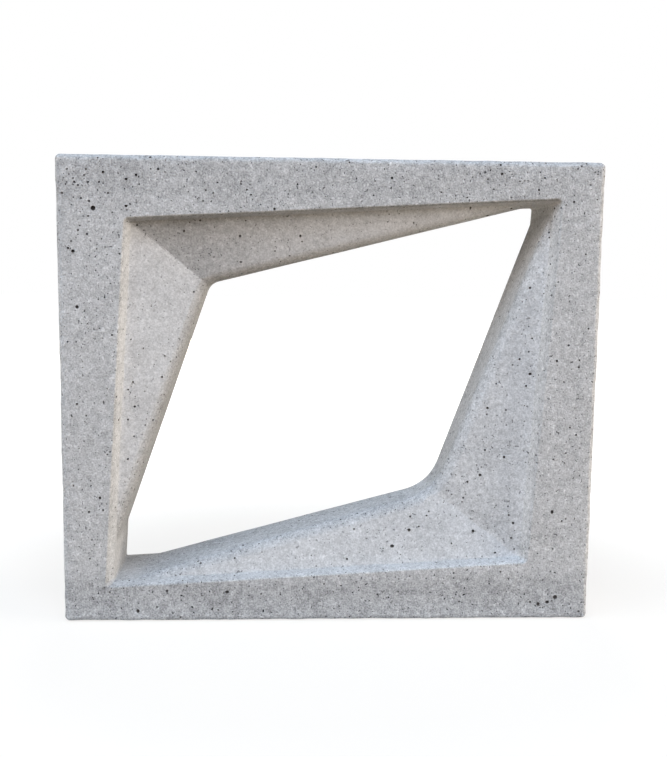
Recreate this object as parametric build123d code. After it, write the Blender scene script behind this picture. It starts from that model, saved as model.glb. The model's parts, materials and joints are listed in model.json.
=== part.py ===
"""Concrete screen block: a cast frame round a slanted see-through opening with folded inner faces.

The block stands on its lower bed, with its front towards -Y and its origin under its middle.
Both faces are alike, mirrored about the middle of the thickness.
Half a turn about the axis through the opening brings each rim onto itself, but not the throat: its
lower fold reaches further in and is rounded more, and its lower point is blunter.
"""
import os

from build123d import *

# Overall size of the block
block_width = 300.0
block_height = 260.0
block_thickness = 65.0
arris_radius = 3.0

# Rim of the opening on each face: where its upper left corner lies, and its upper right one
left_corner_side_inset = 36.7
left_corner_bed_inset = 34.1
right_corner_side_inset = 23.8
right_corner_bed_inset = 20.6
rim_corner_radius = 2.5
rim_edge_radius = 1.2

# Lip just inside the rim, drafted more at the sides than along the beds
lip_depth = 7.5
lip_side_draft = 3.3
lip_bed_draft = 1.8
lip_corner_radius = 1.2

# Folds: how far the facets reach in from the lip's corner to their fold, and how deep the folds lie
upper_fold_side_reach = 40.8
upper_fold_bed_reach = 33.7
upper_fold_radius = 9.0
lower_fold_side_reach = 48.6
lower_fold_bed_reach = 36.0
lower_fold_radius = 31.0
fold_depth = 16.7
ridge_radius = 8.0

# Points of the throat: its straight sides aim this far past the lip's corners, which cut them off
upper_point_side_overhang = 2.4
upper_point_bed_overhang = 2.0
lower_point_side_overhang = 8.2
lower_point_bed_overhang = 5.1

# How far the folds of the cut run on past the throat's corner, as a share of their own length
fold_overrun_share = 0.25

# A face is a wall of the throat where its normal has less than this share along the thickness
wall_lean_share = 0.02

# An edge of a wall is a ridge where it lies past this share of the way from the lip's foot to the fold
ridge_depth_share = 0.25


def rim_corners():
    """Corners of the rim, seen from the front: upper left, upper right, lower right, lower left."""
    side, bed = block_width / 2, block_height / 2
    upper_left = Vector(-side + left_corner_side_inset, bed - left_corner_bed_inset)
    upper_right = Vector(side - right_corner_side_inset, bed - right_corner_bed_inset)
    return [upper_left, upper_right, -upper_left, -upper_right]


def lip_corners():
    """Corners at the foot of the lip, where the rim's sides cross once each is drawn in by its draft."""
    corners = rim_corners()
    sides = []
    for start, end, draft in zip(corners, corners[1:] + corners[:1], [lip_bed_draft, lip_side_draft] * 2):
        along = (end - start).normalized()
        inward = along.rotate(Axis.Z, -90)
        sides.append(Axis(start + inward * draft, along))
    return [before.intersect(after) for before, after in zip(sides[-1:] + sides[:-1], sides)]


def lip_cut(face_plane, rim, lip):
    """The shallow drafted recess between a face and the foot of its lip."""
    return loft([face_plane * rim, face_plane.offset(-lip_depth) * lip], ruled=True)


def fold_cut(face_plane, lip, lip_corner, near_corners, fold_corner):
    """Two flat facets that slope in from one corner of the lip and meet in a fold."""
    lip_plane = face_plane.offset(-lip_depth)
    fold_plane = face_plane.offset(-fold_depth)
    start = lip_plane.from_local_coords(lip_corner)
    end = fold_plane.from_local_coords(fold_corner)
    tip = end + (end - start) * fold_overrun_share
    mouth = lip & Polygon(lip_corner, *near_corners, align=None)
    return loft([lip_plane * mouth, Vertex(*tip)], ruled=True)


def fold_corners(corners):
    """Where the upper left and the lower right facets meet the throat in their folds."""
    upper_left, _, lower_right, _ = corners
    upper_fold = upper_left + Vector(upper_fold_side_reach, -upper_fold_bed_reach)
    lower_fold = lower_right + Vector(-lower_fold_side_reach, lower_fold_bed_reach)
    return upper_fold, lower_fold


def face_cut(face_plane, rim, lip, corners):
    """All that is cut from one face: the lip and the facets at two opposite corners."""
    upper_left, upper_right, lower_right, lower_left = corners
    upper_fold, lower_fold = fold_corners(corners)
    ends = [upper_right, lower_left]
    cut = lip_cut(face_plane, rim, lip)
    cut += fold_cut(face_plane, lip, upper_left, ends, upper_fold)
    cut += fold_cut(face_plane, lip, lower_right, ends, lower_fold)
    return cut


def throat_cut(face_plane, lip, corners):
    """The slanted passage straight through the block, rounded at the folds and cut off at its points."""
    _, upper_right, _, lower_left = corners
    upper_fold, lower_fold = fold_corners(corners)
    upper_point = upper_right + Vector(upper_point_side_overhang, upper_point_bed_overhang)
    lower_point = lower_left - Vector(lower_point_side_overhang, lower_point_bed_overhang)
    outline = Polygon(upper_point, upper_fold, lower_point, lower_fold, align=None)
    outline = fillet(outline.vertices().sort_by_distance(upper_fold)[0], upper_fold_radius)
    outline = fillet(outline.vertices().sort_by_distance(lower_fold)[0], lower_fold_radius)
    outline &= lip
    length = block_thickness - 2 * lip_depth
    return extrude(face_plane.offset(-lip_depth) * outline, amount=length, dir=-face_plane.z_dir)


def is_wall(face):
    """Whether a face runs straight through the thickness."""
    return abs(face.normal_at().Y) < wall_lean_share


def is_ridge(edge):
    """Whether an edge of a wall lies deeper than the lip's foot."""
    depth = block_thickness / 2 - abs(edge.center().Y)
    return depth > lip_depth + (fold_depth - lip_depth) * ridge_depth_share


def soften(block):
    """Rounds the rims, and the ridges where the sloping facets turn into the throat."""
    rims = [wire.edges() for face in block.faces().filter_by(Axis.Y) for wire in face.inner_wires()]
    block = fillet(rims, rim_edge_radius)
    walls = block.faces().filter_by(is_wall)
    slopes = block.faces() - walls
    ridges = walls.edges() & slopes.edges()
    return fillet(ridges.filter_by(is_ridge), ridge_radius)


def screen_block():
    """The whole block."""
    front_plane = Plane(
        origin=(0, -block_thickness / 2, block_height / 2), x_dir=(1, 0, 0), z_dir=(0, -1, 0)
    )
    corners = lip_corners()
    rim = Polygon(*rim_corners(), align=None)
    rim = fillet(rim.vertices(), rim_corner_radius)
    lip = Polygon(*corners, align=None)
    lip = fillet(lip.vertices(), lip_corner_radius)

    block = Box(block_width, block_thickness, block_height, align=(Align.CENTER, Align.CENTER, Align.MIN))
    block = fillet(block.edges(), arris_radius)
    front_cut = face_cut(front_plane, rim, lip, corners)
    opening = front_cut + throat_cut(front_plane, lip, corners) + mirror(front_cut, Plane.XZ)
    return soften(block - opening)


os.makedirs("parts", exist_ok=True)
export_step(screen_block(), "parts/screen_block.step")
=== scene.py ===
import json
import math
import random

import bpy
import numpy as np
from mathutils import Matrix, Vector

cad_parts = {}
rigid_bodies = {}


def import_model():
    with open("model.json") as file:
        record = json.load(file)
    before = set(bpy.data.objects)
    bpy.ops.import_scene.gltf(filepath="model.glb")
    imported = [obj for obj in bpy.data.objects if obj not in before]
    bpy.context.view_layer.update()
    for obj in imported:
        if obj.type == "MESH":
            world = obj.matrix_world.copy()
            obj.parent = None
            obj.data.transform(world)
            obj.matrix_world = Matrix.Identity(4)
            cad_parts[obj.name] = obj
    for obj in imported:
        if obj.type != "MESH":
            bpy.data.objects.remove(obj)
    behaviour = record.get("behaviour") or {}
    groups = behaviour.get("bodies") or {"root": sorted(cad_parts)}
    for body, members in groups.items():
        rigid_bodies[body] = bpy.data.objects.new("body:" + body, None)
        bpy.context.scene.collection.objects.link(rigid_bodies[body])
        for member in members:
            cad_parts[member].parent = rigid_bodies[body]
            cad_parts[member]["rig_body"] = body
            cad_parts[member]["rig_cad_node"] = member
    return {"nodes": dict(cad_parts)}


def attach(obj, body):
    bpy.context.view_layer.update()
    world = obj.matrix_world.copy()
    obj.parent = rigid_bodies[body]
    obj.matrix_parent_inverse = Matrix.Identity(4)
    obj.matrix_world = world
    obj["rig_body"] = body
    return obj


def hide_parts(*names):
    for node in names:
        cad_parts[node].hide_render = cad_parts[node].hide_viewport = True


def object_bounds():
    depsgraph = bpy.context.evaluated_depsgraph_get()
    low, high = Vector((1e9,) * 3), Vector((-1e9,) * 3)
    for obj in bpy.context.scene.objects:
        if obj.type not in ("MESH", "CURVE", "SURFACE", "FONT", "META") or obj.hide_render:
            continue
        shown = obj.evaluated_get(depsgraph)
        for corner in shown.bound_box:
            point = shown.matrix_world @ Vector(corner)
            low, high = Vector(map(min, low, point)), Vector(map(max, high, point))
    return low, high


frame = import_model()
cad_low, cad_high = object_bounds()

# The unit that small sizes are written in, and the block's own half sizes in metres
millimetre = 0.001
half_width = cad_high.x
half_thickness = cad_high.y
half_height = cad_high.z / 2

# The photograph's camera: image size, focal length and principal point in pixels, then place and turn
photo_width = 667
photo_height = 757
focal_pixels = 1015.0
principal_x = 330.6
principal_y = 395.2
sensor_width_mm = 36.0
camera_place = Vector((-0.02987, -0.59178, 0.20167))
camera_turn_degrees = (82.741, -0.654, -2.918)

# Grid that the cast surface is cut into before it is worn
grid_step = 3.5 * millimetre
merge_distance = 0.01 * millimetre
flat_angle_degrees = 0.4
smooth_angle_degrees = 32.0

# Creases between facets: how the facets lean, how sharply they meet, and how far the filling reaches
facet_lean_share = 0.9
crease_turn_degrees = 10.0
crease_slope = 0.18
crease_reach = 4.5 * millimetre

# Wear: how deep the arrises and the flat faces are worn, and how wide and uneven the worn patches are
arris_reach = 4.5 * millimetre
arris_wear = 1.3 * millimetre
arris_wear_width = 9.0 * millimetre
arris_wear_contrast = 1.6
face_wave = 0.35 * millimetre
face_wave_width = 40.0 * millimetre
face_wave_contrast = 1.0
wear_noise_depth = 2

# Air holes read off the photograph: pixel across, pixel down, width of the hole in millimetres
front_air_holes = [
    (93, 208, 2.8), (136, 175, 2.0), (126, 179, 1.5), (103, 172, 1.6), (78, 185, 1.4), (67, 169, 1.1),
    (126, 206, 1.7), (88, 216, 1.3), (73, 251, 1.9), (77, 307, 1.7), (137, 225, 1.5), (112, 335, 1.4),
    (392, 178, 2.0), (375, 181, 1.1), (316, 167, 1.3), (502, 174, 1.5), (545, 178, 1.3), (539, 190, 1.4),
    (574, 202, 1.6), (530, 288, 1.5), (77, 404, 1.4), (557, 361, 1.7), (530, 374, 1.9), (526, 386, 1.5),
    (576, 435, 1.4), (100, 498, 2.0), (89, 512, 1.5), (138, 611, 2.0), (227, 592, 2.1), (167, 591, 1.5),
    (552, 512, 2.3), (530, 602, 1.8), (538, 604, 2.0), (547, 602, 2.6), (555, 597, 2.4), (324, 584, 1.2),
    (86, 169, 1.2), (84, 175, 1.2), (88, 182, 1.3), (73, 178, 1.1), (108, 193, 1.3), (81, 198, 1.2),
    (89, 201, 1.4), (130, 204, 1.1), (78, 230, 1.2), (87, 234, 1.3), (68, 248, 1.3), (71, 241, 1.2),
    (105, 247, 1.0), (99, 182, 1.1), (62, 193, 1.1), (213, 193, 1.2), (186, 164, 1.0), (203, 201, 1.1),
]
facet_air_holes = [
    (184, 231, 1.6), (240, 236, 1.8), (275, 251, 1.1), (133, 382, 1.3), (162, 377, 1.3), (153, 420, 1.5),
    (128, 459, 1.5), (506, 410, 1.3), (485, 450, 1.6), (504, 457, 1.9), (480, 475, 1.7), (347, 559, 1.6),
    (392, 546, 2.3), (409, 530, 1.8), (513, 523, 1.7), (473, 531, 1.9),
]

# Small air holes strewn over every face, and how every hole is shaped
strewn_hole_count = 1900
strewn_hole_least = 0.7 * millimetre
strewn_hole_most = 1.6 * millimetre
strewn_small_bias = 3
strewn_seed = 11
hole_shape_seed = 12
large_hole_subdivisions = 2
small_hole_subdivisions = 1
hole_sink_share = 0.4
hole_depth_share = 1.4
hole_uneven_share = 0.22
hole_spacing_share = 1.4

# Concrete: colours of the outer and the moulded faces, and the depth over which one passes into the other
outer_colour = (0.485, 0.485, 0.485, 1)
moulded_colour = (0.57, 0.57, 0.57, 1)
moulded_from = 0.3 * millimetre
moulded_full = 4.0 * millimetre
outer_band = 15.0 * millimetre
concrete_roughness = 0.9
concrete_specular = 0.2

# Inside of an air hole: dark colours that are painted shade, standing in for the shade deep in the hole
hole_shade_dark_colour = (0.1, 0.095, 0.09, 1)
hole_shade_pale_colour = (0.2, 0.19, 0.18, 1)
hole_sand_width = 0.6 * millimetre
hole_sand_detail = 2
hole_roughness = 0.95
hole_specular = 0.1

# Noise that the grain is made from: its middle value, and how rough its fine and its coarse kinds are
noise_middle = 0.5
fine_noise_detail = 1
fine_noise_roughness = 0.5
coarse_noise_detail = 2
coarse_noise_roughness = 0.55

# Grain of the concrete: widths of its patches, how far each swings the tone, and which noise makes a speck
sand_width = 0.95 * millimetre
sand_swing = 1.12
clump_width = 2.8 * millimetre
clump_swing = 0.68
blotch_width = 22.0 * millimetre
blotch_swing = 0.3
# The dark specks are painted shade of tiny pits: a darker colour, with only the bump under them
pit_width = 1.6 * millimetre
pit_start = 0.325
pit_full = 0.265
pit_shade_tone = 0.72
pale_width = 1.5 * millimetre
pale_start = 0.66
pale_full = 0.78
pale_tone = 0.22
moulded_grain_share = 0.62
left_facing_grain_share = 0.8
relief_height = 0.4 * millimetre
relief_strength = 0.5

# A facet counts as leaning left or down once this much of its normal points there, and fully at the second
lean_start_share = -0.05
lean_full_share = -0.2

# The bars along the beds are darker than those at the sides
bed_band = 34.0 * millimetre
upper_bed_tone = 0.12
lower_bed_tone = 0.26

# The fold at the lower right: its two ends, and the painted shade above it and painted highlight below it,
# which fade out over a reach
fold_start = Vector((110.0, 0, 36.0)) * millimetre
fold_end = Vector((61.4, 0, 72.0)) * millimetre
fold_reach = 15.0 * millimetre
fold_highlight_end = -2.0 * millimetre
fold_shade_full = 5.0 * millimetre
fold_shade = 0.13
fold_highlight = 0.1

# Painted shade on the facets that face down, darker towards their corner, and painted light, paler, towards
# their point
down_shade_tone = 0.25
down_shade_full = -85.0 * millimetre
down_shade_least = 70.0 * millimetre
down_shade_least_share = -0.8

# The faces of the opening that face up are darkened with painted shade
up_facing_shade_tone = 0.23
up_shade_full_share = 0.6

# Floor: how much of the shadow shows, and the distances from the block over which it fades to white
shadow_share = 0.3
shadow_near = 0.16
shadow_far = 0.5

# Floor: its size, what it adds to its white where it is lit, and what it throws back far off and near
floor_size = 12.0
floor_colour = (0.29, 0.265, 0.235, 1)
earth_colour = (0.24, 0.17, 0.1, 1)
pale_colour = (0.8, 0.78, 0.75, 1)
floor_pale_reach = 35.0 * millimetre

# Light: a faint even one all round, and soft square panels, each with its place, width, colour and watts
even_light_strength = 0.02
light_panels = {
    "sky_panel": ((0.0, -1.0, 3.0), 2.2, (0.4, 0.68, 1.0), 53),
    "high_front_panel": ((0.0, -2.8, 2.3), 2.8, (0.94, 0.93, 1.0), 76),
    "high_left_panel": ((-2.6, -1.2, 2.1), 2.4, (0.78, 0.89, 1.0), 48),
    "left_panel": ((-3.0, -0.7, 0.5), 1.8, (1.0, 0.88, 0.78), 34),
    "right_panel": ((3.0, -0.7, 0.5), 1.8, (1.0, 0.9, 0.78), 118),
    "back_panel": ((0.0, 2.2, 0.16), 0.5, (1.0, 0.96, 0.9), 40),
}


def select_only(piece):
    """Leaves one object selected and active."""
    bpy.ops.object.select_all(action="DESELECT")
    piece.select_set(True)
    bpy.context.view_layer.objects.active = piece


def read_rows(items, name, width, kind=float):
    """One property of all the vertices, edges, faces or corners of a mesh, one row each."""
    rows = np.empty(len(items) * width, dtype=kind)
    items.foreach_get(name, rows)
    return rows.reshape(-1, width)


def vertex_places(mesh):
    """The places of a mesh's vertices, one row each."""
    return read_rows(mesh.vertices, "co", 3)


def set_places(mesh, places):
    """Moves a mesh's vertices to the places given, one row each."""
    mesh.vertices.foreach_set("co", places.ravel())
    mesh.update()


# The block's body

def cast_copy():
    """A copy of the cast solid's mesh, with its loose triangles merged into whole flat faces."""
    select_only(frame["nodes"]["screen_block"])
    bpy.ops.object.duplicate()
    block = bpy.context.active_object
    block.name = "cast_block"
    del block["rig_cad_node"]
    del block["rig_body"]
    bpy.ops.object.mode_set(mode="EDIT")
    bpy.ops.mesh.select_all(action="SELECT")
    bpy.ops.mesh.remove_doubles(threshold=merge_distance)
    bpy.ops.mesh.dissolve_limited(angle_limit=math.radians(flat_angle_degrees))
    bpy.ops.object.mode_set(mode="OBJECT")
    return block


def cut_grid(block):
    """Cuts the surface along evenly spaced planes across all three directions."""
    select_only(block)
    bpy.ops.object.mode_set(mode="EDIT")
    for axis in (0, 2, 1):
        normal = Vector((0, 0, 0))
        normal[axis] = 1
        count = math.ceil((cad_high[axis] - cad_low[axis]) / grid_step)
        for share in np.linspace(0, 1, count + 1)[1:-1]:
            bpy.ops.mesh.select_all(action="SELECT")
            bpy.ops.mesh.bisect(plane_co=cad_low.lerp(cad_high, share), plane_no=normal)
    bpy.ops.object.mode_set(mode="OBJECT")


def face_pairs(mesh):
    """Edge, first face and second face for every edge that joins two faces, one row each."""
    corner_edges = read_rows(mesh.loops, "edge_index", 1, int).ravel()
    corner_counts = read_rows(mesh.polygons, "loop_total", 1, int).ravel()
    corner_faces = np.repeat(np.arange(len(mesh.polygons)), corner_counts)
    first, second = np.argsort(corner_edges, kind="stable").reshape(-1, 2).T
    return np.stack([corner_edges[first], corner_faces[first], corner_faces[second]], axis=1)


def find_creases(mesh, facet):
    """The two end vertices of each edge where two facets meet in a hollow, one row each."""
    normals = read_rows(mesh.polygons, "normal", 3)
    centres = read_rows(mesh.polygons, "center", 3)
    ends = read_rows(mesh.edges, "vertices", 2, int)
    edge, first, second = face_pairs(mesh).T
    hollow = np.sum((centres[second] - centres[first]) * normals[first], axis=1) > 0
    turn = np.sum(normals[first] * normals[second], axis=1) < math.cos(math.radians(crease_turn_degrees))
    return ends[edge[hollow & turn & facet[first] & facet[second]]]


def soften_creases(block):
    """Fills the shallow valleys between two facets a little, so that they turn in a soft curve."""
    mesh = block.data
    places = vertex_places(mesh)
    facet = np.abs(read_rows(mesh.polygons, "normal", 3)[:, 1]) > facet_lean_share
    creases = find_creases(mesh, facet)
    middles = places[creases].mean(axis=1)
    on_facet = np.ones(len(places), dtype=bool)
    for face in mesh.polygons:
        if not facet[face.index]:
            on_facet[list(face.vertices)] = False
    inside = np.abs(places[:, 1]) < half_thickness - merge_distance
    for side_x in (-1, 1):
        for side_y in (-1, 1):
            chain = creases[(middles[:, 0] * side_x > 0) & (middles[:, 1] * side_y > 0)]
            points = places[chain.ravel()]
            start, end = points[points[:, 0].argmin()], points[points[:, 0].argmax()]
            length = np.linalg.norm(end - start)
            along = (end - start) / length
            offsets = places - start
            spans = offsets @ along
            gaps = np.linalg.norm(offsets - np.outer(spans, along), axis=1)
            beside = (spans > -crease_reach) & (spans < length + crease_reach)
            fill = crease_slope * np.clip(crease_reach - gaps, 0, None) ** 2 / (2 * crease_reach)
            near = on_facet & inside & beside & (places[:, 0] * side_x > 0) & (places[:, 1] * side_y > 0)
            places[near, 1] += side_y * fill[near]
    set_places(mesh, places)


def mark_arrises(block):
    """A vertex group that is full on the outer arrises and fades out over their reach."""
    places = vertex_places(block.data)
    depths = np.concatenate([places - np.array(cad_low), np.array(cad_high) - places], axis=1)
    second_depth = np.sort(depths, axis=1)[:, 1]
    weights = np.clip(1 - second_depth / arris_reach, 0, 1)
    group = block.vertex_groups.new(name="arrises")
    for index in np.flatnonzero(weights):
        group.add([int(index)], float(weights[index]), "REPLACE")
    return group.name


def wear(block, name, depth, width, contrast, group=""):
    """Sinks the surface by up to a depth, in soft patches of a width."""
    texture = bpy.data.textures.new(name, "CLOUDS")
    texture.noise_scale = width
    texture.noise_depth = wear_noise_depth
    texture.contrast = contrast
    modifier = block.modifiers.new(name, "DISPLACE")
    modifier.texture = texture
    modifier.texture_coords = "LOCAL"
    modifier.mid_level = 0
    modifier.strength = -depth
    modifier.vertex_group = group
    select_only(block)
    bpy.ops.object.modifier_apply(modifier=name)


def keep_inside(block):
    """Brings back the few points, at the rim's sharpest corners, that the wear pushed out of the box."""
    set_places(block.data, np.clip(vertex_places(block.data), cad_low, cad_high))


# Air holes

def photo_ray(pixel_x, pixel_y, camera):
    """The direction in which the camera sees a pixel of the photograph."""
    seen = Vector(((pixel_x - principal_x) / focal_pixels, (principal_y - pixel_y) / focal_pixels, -1))
    return (camera.rotation_euler.to_matrix() @ seen).normalized()


def photo_holes(block, camera):
    """Place, outward normal and width of each air hole that is read off the photograph."""
    found = []
    for pixel_x, pixel_y, width in front_air_holes + facet_air_holes:
        hit, place, normal, _ = block.ray_cast(camera_place, photo_ray(pixel_x, pixel_y, camera))
        assert hit, (pixel_x, pixel_y)
        found.append((place, normal, width * millimetre))
    return found


def strewn_holes(block, taken):
    """Place, normal and width of small holes, spread evenly over the surface and clear of the others."""
    draw = random.Random(strewn_seed)
    mesh = block.data
    mesh.calc_loop_triangles()
    triangles = mesh.loop_triangles
    areas = np.empty(len(triangles))
    triangles.foreach_get("area", areas)
    reach = np.cumsum(areas)
    found = list(taken)
    while len(found) < len(taken) + strewn_hole_count:
        triangle = triangles[int(np.searchsorted(reach, draw.random() * reach[-1]))]
        first, second, third = (mesh.vertices[index].co for index in triangle.vertices)
        along, across = draw.random(), draw.random()
        if along + across > 1:
            along, across = 1 - along, 1 - across
        place = first + (second - first) * along + (third - first) * across
        growth = draw.random() ** strewn_small_bias
        width = strewn_hole_least + (strewn_hole_most - strewn_hole_least) * growth
        if all((place - other).length > (width + wide) / 2 * hole_spacing_share for other, _, wide in found):
            found.append((place, triangle.normal.copy(), width))
    return found[len(taken):]


def bubble_shape(subdivisions):
    """Vertices and faces of a round bubble of radius one."""
    bpy.ops.object.select_all(action="DESELECT")
    bpy.ops.mesh.primitive_ico_sphere_add(subdivisions=subdivisions, radius=1)
    bubble = bpy.context.active_object
    places = vertex_places(bubble.data)
    faces = [list(face.vertices) for face in bubble.data.polygons]
    bpy.ops.object.delete()
    return places, faces


def bubble_mesh(name, holes, subdivisions, draw):
    """One mesh of uneven bubbles, each sunk into the surface at its hole."""
    unit_places, unit_faces = bubble_shape(subdivisions)
    places = []
    faces = []
    for place, normal, width in holes:
        turn = normal.to_track_quat("Z", "Y").to_matrix()
        spin = draw.random() * math.tau
        radii = [width / 2 * (1 + hole_uneven_share * draw.uniform(-1, 1)) for _ in range(2)]
        radii.append(width / 2 * hole_depth_share)
        centre = place - normal * radii[2] * hole_sink_share
        first = len(places)
        for unit in unit_places:
            x = unit[0] * math.cos(spin) - unit[1] * math.sin(spin)
            y = unit[0] * math.sin(spin) + unit[1] * math.cos(spin)
            places.append(centre + turn @ Vector((x * radii[0], y * radii[1], unit[2] * radii[2])))
        faces.extend([index + first for index in face] for face in unit_faces)
    mesh = bpy.data.meshes.new(name)
    mesh.from_pydata(places, [], faces)
    bubbles = bpy.data.objects.new(name, mesh)
    bpy.context.scene.collection.objects.link(bubbles)
    return bubbles


def cut_holes(block, bubbles):
    """Takes the bubbles out of the block."""
    modifier = block.modifiers.new("air_holes", "BOOLEAN")
    modifier.operation = "DIFFERENCE"
    modifier.solver = "MANIFOLD"
    modifier.object = bubbles
    select_only(block)
    bpy.ops.object.modifier_apply(modifier=modifier.name)
    bpy.data.objects.remove(bubbles)


def pierce(block, camera):
    """Cuts all air holes into the block, with the second of its finishes, painted dark as shade, inside them.
    """
    large_holes = photo_holes(block, camera)
    small_holes = strewn_holes(block, large_holes)
    draw = random.Random(hole_shape_seed)
    for name, holes, subdivisions in (
        ("large_bubbles", large_holes, large_hole_subdivisions),
        ("small_bubbles", small_holes, small_hole_subdivisions),
    ):
        bubbles = bubble_mesh(name, holes, subdivisions, draw)
        for material in block.data.materials:
            bubbles.data.materials.append(material)
        bubbles.data.polygons.foreach_set("material_index", [1] * len(bubbles.data.polygons))
        cut_holes(block, bubbles)


def even_normals(block):
    """Lets the large flat faces set the shading at the edges that they share with narrow ones."""
    modifier = block.modifiers.new("even_normals", "WEIGHTED_NORMAL")
    modifier.keep_sharp = True
    select_only(block)
    bpy.ops.object.modifier_apply(modifier=modifier.name)


# Finishes, with painted shade and painted light in them

def add_node(tree, kind, inputs=None, **settings):
    """A node with its settings, its plain values and its links."""
    made = tree.nodes.new(kind)
    for name, value in settings.items():
        setattr(made, name, value)
    for socket, value in (inputs or {}).items():
        if isinstance(value, bpy.types.NodeSocket):
            tree.links.new(value, made.inputs[socket])
        else:
            made.inputs[socket].default_value = value
    return made


def reckon(tree, operation, *values):
    """The result of a chain of one operation on numbers."""
    result = values[0]
    for value in values[1:]:
        result = add_node(tree, "ShaderNodeMath", {0: result, 1: value}, operation=operation).outputs[0]
    return result


def ramp(tree, value, low, high, low_out, high_out, smooth=False):
    """A number stretched from one range to another and held at its ends."""
    made = add_node(
        tree, "ShaderNodeMapRange",
        {"Value": value, "From Min": low, "From Max": high, "To Min": low_out, "To Max": high_out},
        interpolation_type="SMOOTHSTEP" if smooth else "LINEAR",
    )
    return made.outputs["Result"]


def grain(tree, place, width, detail, rough):
    """Soft noise whose patches have about the given width."""
    made = add_node(
        tree, "ShaderNodeTexNoise",
        {"Vector": place, "Scale": 1 / width, "Detail": detail, "Roughness": rough},
    )
    return made.outputs["Fac"]


def swing(tree, value, amount):
    """Noise turned into a change of tone about zero."""
    return reckon(tree, "MULTIPLY", reckon(tree, "SUBTRACT", value, noise_middle), amount)


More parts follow.
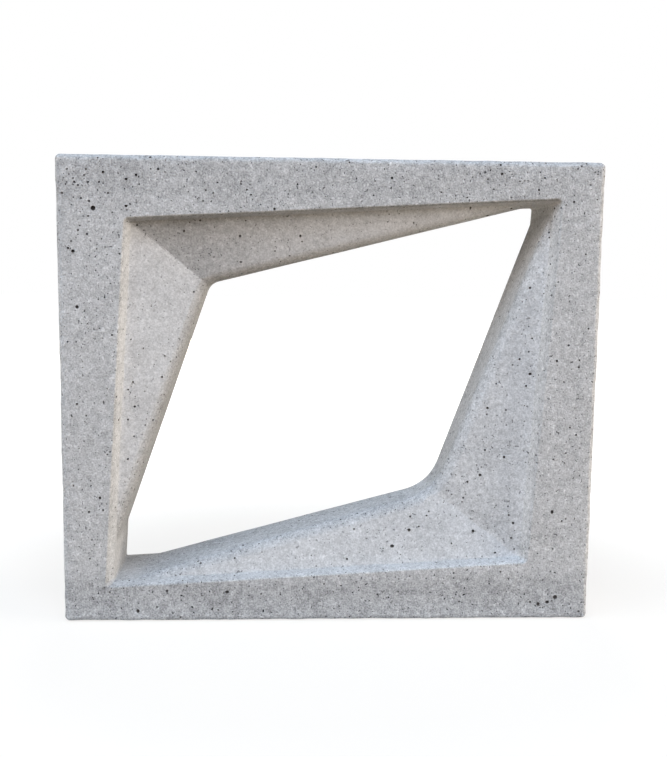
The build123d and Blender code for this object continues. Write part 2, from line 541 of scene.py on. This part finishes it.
def concrete_finish_and_painted_shade():
    """Grey cast concrete: sandy on the outer faces, smoother and paler where the opening was moulded, with
    painted shade and painted light on some facets and in its pit specks.
    """
    material = bpy.data.materials.new("cast_concrete")
    material.use_nodes = True
    tree = material.node_tree
    shader = tree.nodes["Principled BSDF"]
    coordinates = add_node(tree, "ShaderNodeTexCoord")
    place = coordinates.outputs["Object"]
    parts = add_node(tree, "ShaderNodeSeparateXYZ", {"Vector": place})

    # How far a point lies behind the nearer face, inside the rim: 0 on the outer faces, 1 in the opening
    depth = reckon(tree, "SUBTRACT", half_thickness, reckon(tree, "ABSOLUTE", parts.outputs["Y"], 0))
    across = reckon(tree, "ABSOLUTE", parts.outputs["X"], 0)
    upward = reckon(tree, "SUBTRACT", parts.outputs["Z"], half_height)
    upright = reckon(tree, "ABSOLUTE", upward, 0)
    behind = ramp(tree, depth, moulded_from, moulded_full, 0, 1, smooth=True)
    within_sides = reckon(tree, "LESS_THAN", across, half_width - outer_band)
    within_beds = reckon(tree, "LESS_THAN", upright, half_height - outer_band)
    moulded = reckon(tree, "MULTIPLY", behind, within_sides, within_beds)

    sand = grain(tree, place, sand_width, fine_noise_detail, fine_noise_roughness)
    clump = grain(tree, place, clump_width, fine_noise_detail, fine_noise_roughness)
    blotch = grain(tree, place, blotch_width, coarse_noise_detail, coarse_noise_roughness)
    # Dark specks of painted shade, standing in for tiny pits
    pit_noise = grain(tree, place, pit_width, fine_noise_detail, fine_noise_roughness)
    painted_pit_shade = ramp(tree, pit_noise, pit_start, pit_full, 0, 1)
    pale = ramp(tree, grain(tree, place, pale_width, 0, 0), pale_start, pale_full, 0, 1)

    facing = add_node(tree, "ShaderNodeSeparateXYZ", {"Vector": coordinates.outputs["Normal"]})
    moulded_share = ramp(
        tree, facing.outputs["X"], lean_start_share, lean_full_share,
        moulded_grain_share, left_facing_grain_share,
    )
    share = add_node(tree, "ShaderNodeMix", {"Factor": moulded, "A": 1, "B": moulded_share}).outputs["Result"]
    full_grain = reckon(
        tree, "ADD", swing(tree, sand, sand_swing), swing(tree, clump, clump_swing),
        reckon(tree, "MULTIPLY", painted_pit_shade, -pit_shade_tone), reckon(tree, "MULTIPLY", pale, pale_tone),
    )
    grains = reckon(tree, "MULTIPLY", full_grain, share)

    # The outer bars along the beds
    upper_bed = ramp(
        tree, upward, half_height - bed_band, half_height - bed_band / 2, 0, -upper_bed_tone, smooth=True
    )
    lower_bed = ramp(
        tree, upward, bed_band - half_height, bed_band / 2 - half_height, 0, -lower_bed_tone, smooth=True
    )
    beds = reckon(tree, "ADD", upper_bed, lower_bed)
    outer_beds = reckon(tree, "MULTIPLY", beds, reckon(tree, "SUBTRACT", 1, moulded))

    # Distance from the fold, above and to the right of it if positive
    along = (fold_end - fold_start).normalized()
    offset = add_node(tree, "ShaderNodeVectorMath", {0: place, 1: fold_start}, operation="SUBTRACT")
    gap = add_node(
        tree, "ShaderNodeVectorMath", {0: offset.outputs["Vector"], 1: (along.z, 0, -along.x)},
        operation="DOT_PRODUCT",
    ).outputs["Value"]
    # Painted shade on the right facet beside the fold, and a painted highlight on the bottom facet below it
    painted_fold_light_and_shade = reckon(
        tree, "MULTIPLY", moulded, reckon(tree, "GREATER_THAN", parts.outputs["X"], 0),
        ramp(tree, reckon(tree, "ABSOLUTE", gap, 0), 0, fold_reach, 1, 0),
        ramp(tree, gap, fold_highlight_end, fold_shade_full, fold_highlight, -fold_shade, smooth=True),
    )

    # Painted shade on the facets that face down and up, and painted light towards the point of those that
    # face down
    painted_down_light_and_shade = reckon(
        tree, "MULTIPLY", moulded,
        ramp(tree, facing.outputs["Z"], lean_start_share, lean_full_share, 0, -down_shade_tone),
        ramp(tree, parts.outputs["X"], down_shade_full, down_shade_least, 1, down_shade_least_share),
    )
    # Painted shade that darkens the faces that face up
    painted_up_facing_shade = reckon(
        tree, "MULTIPLY", moulded, ramp(tree, facing.outputs["Z"], 0, up_shade_full_share, 0, -up_facing_shade_tone)
    )
    tone = reckon(
        tree, "ADD", 1, grains, swing(tree, blotch, blotch_swing), outer_beds, painted_down_light_and_shade, painted_up_facing_shade, painted_fold_light_and_shade
    )
    body = add_node(
        tree, "ShaderNodeMix", {"Factor": moulded, "A": outer_colour, "B": moulded_colour}, data_type="RGBA"
    )
    colour = add_node(
        tree, "ShaderNodeVectorMath", {0: body.outputs["Result"], "Scale": tone}, operation="SCALE"
    )
    tree.links.new(colour.outputs["Vector"], shader.inputs["Base Color"])
    shader.inputs["Roughness"].default_value = concrete_roughness
    shader.inputs["Specular IOR Level"].default_value = concrete_specular

    bump = add_node(
        tree, "ShaderNodeBump",
        {"Height": grains, "Strength": relief_strength, "Distance": relief_height},
    )
    tree.links.new(bump.outputs["Normal"], shader.inputs["Normal"])
    return material


def hole_shade_finish():
    """The rough inside of an air hole, painted dark as shade."""
    material = bpy.data.materials.new("air_hole_concrete")
    material.use_nodes = True
    tree = material.node_tree
    shader = tree.nodes["Principled BSDF"]
    place = add_node(tree, "ShaderNodeTexCoord").outputs["Object"]
    sand = grain(tree, place, hole_sand_width, hole_sand_detail, coarse_noise_roughness)
    colour = add_node(
        tree, "ShaderNodeMix",
        {"Factor": sand, "A": hole_shade_dark_colour, "B": hole_shade_pale_colour}, data_type="RGBA",
    )
    tree.links.new(colour.outputs["Result"], shader.inputs["Base Color"])
    shader.inputs["Roughness"].default_value = hole_roughness
    shader.inputs["Specular IOR Level"].default_value = hole_specular
    return material


# Stage: camera, floor, light

def photo_camera():
    """The camera that took the photograph."""
    longest = max(photo_width, photo_height)
    bpy.ops.object.camera_add(location=camera_place)
    camera = bpy.context.active_object
    camera.name = "photo_camera"
    camera.rotation_euler = [math.radians(turn) for turn in camera_turn_degrees]
    camera.data.sensor_width = sensor_width_mm
    camera.data.lens = sensor_width_mm * focal_pixels / longest
    camera.data.shift_x = (photo_width / 2 - principal_x) / longest
    camera.data.shift_y = (principal_y - photo_height / 2) / longest
    bpy.context.scene.camera = camera
    return camera


def seen_directly(tree):
    """One for a ray that comes from the camera, also by way of gloss or glass, and else zero."""
    path = add_node(tree, "ShaderNodeLightPath").outputs
    return reckon(
        tree, "MAXIMUM", path["Is Camera Ray"], path["Is Glossy Ray"], path["Is Transmission Ray"]
    )


def pale_floor():
    """A wide plain floor that looks white and keeps a soft shadow."""
    bpy.ops.object.select_all(action="DESELECT")
    bpy.ops.mesh.primitive_plane_add(size=floor_size)
    floor = bpy.context.active_object
    floor.name = "floor"
    material = bpy.data.materials.new("pale_floor")
    material.use_nodes = True
    tree = material.node_tree
    tree.nodes.remove(tree.nodes["Principled BSDF"])
    place = add_node(tree, "ShaderNodeTexCoord").outputs["Object"]
    away = add_node(tree, "ShaderNodeVectorMath", {0: place}, operation="LENGTH").outputs["Value"]
    glow = ramp(tree, away, shadow_near, shadow_far, 1 - shadow_share, 1, smooth=True)
    white = add_node(tree, "ShaderNodeEmission", {"Color": (1, 1, 1, 1), "Strength": glow})
    pale = add_node(tree, "ShaderNodeBsdfDiffuse", {"Color": floor_colour})
    lit = add_node(tree, "ShaderNodeAddShader", {0: white.outputs[0], 1: pale.outputs[0]})
    parts = add_node(tree, "ShaderNodeSeparateXYZ", {"Vector": place})
    deep = reckon(tree, "ABSOLUTE", parts.outputs["Y"], 0)
    near = ramp(tree, deep, half_thickness, half_thickness + floor_pale_reach, 1, 0)
    ground = add_node(
        tree, "ShaderNodeMix", {"Factor": near, "A": earth_colour, "B": pale_colour}, data_type="RGBA"
    )
    earth = add_node(tree, "ShaderNodeBsdfDiffuse", {"Color": ground.outputs["Result"]})
    shown = add_node(
        tree, "ShaderNodeMixShader", {0: seen_directly(tree), 1: earth.outputs[0], 2: lit.outputs[0]}
    )
    tree.links.new(shown.outputs[0], tree.nodes["Material Output"].inputs["Surface"])
    floor.data.materials.append(material)


def white_world():
    """White to the camera, and a faint even light for the rest."""
    world = bpy.data.worlds.new("white_world")
    world.use_nodes = True
    bpy.context.scene.world = world
    tree = world.node_tree
    tree.nodes.remove(tree.nodes["Background"])
    white = add_node(tree, "ShaderNodeBackground", {"Color": (1, 1, 1, 1), "Strength": 1})
    soft = add_node(tree, "ShaderNodeBackground", {"Color": (1, 1, 1, 1), "Strength": even_light_strength})
    shown = add_node(
        tree, "ShaderNodeMixShader", {0: seen_directly(tree), 1: soft.outputs[0], 2: white.outputs[0]}
    )
    tree.links.new(shown.outputs[0], tree.nodes["World Output"].inputs["Surface"])


def light_panel(name, place, size, colour, strength):
    """A soft square panel of light turned to the block's middle."""
    middle = Vector((0, 0, half_height))
    bpy.ops.object.light_add(type="AREA", location=place)
    lamp = bpy.context.active_object
    lamp.name = name
    lamp.data.size = size
    lamp.data.color = colour
    lamp.data.energy = strength
    lamp.rotation_euler = (middle - Vector(place)).to_track_quat("-Z", "Y").to_euler()
    lamp.visible_camera = False


camera = photo_camera()
block = cast_copy()
cut_grid(block)
soften_creases(block)
arrises = mark_arrises(block)
wear(block, "arris_wear", arris_wear, arris_wear_width, arris_wear_contrast, arrises)
wear(block, "face_wave", face_wave, face_wave_width, face_wave_contrast)
keep_inside(block)
block.vertex_groups.clear()

block.data.materials.clear()
block.data.materials.append(concrete_finish_and_painted_shade())
block.data.materials.append(hole_shade_finish())
pierce(block, camera)
select_only(block)
bpy.ops.object.shade_smooth_by_angle(angle=math.radians(smooth_angle_degrees))
even_normals(block)

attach(block, "root")
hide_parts("screen_block")

pale_floor()
white_world()
for name, (place, width, colour, watts) in light_panels.items():
    light_panel(name, place, width, colour, watts)

bpy.context.scene.view_settings.view_transform = "Standard"
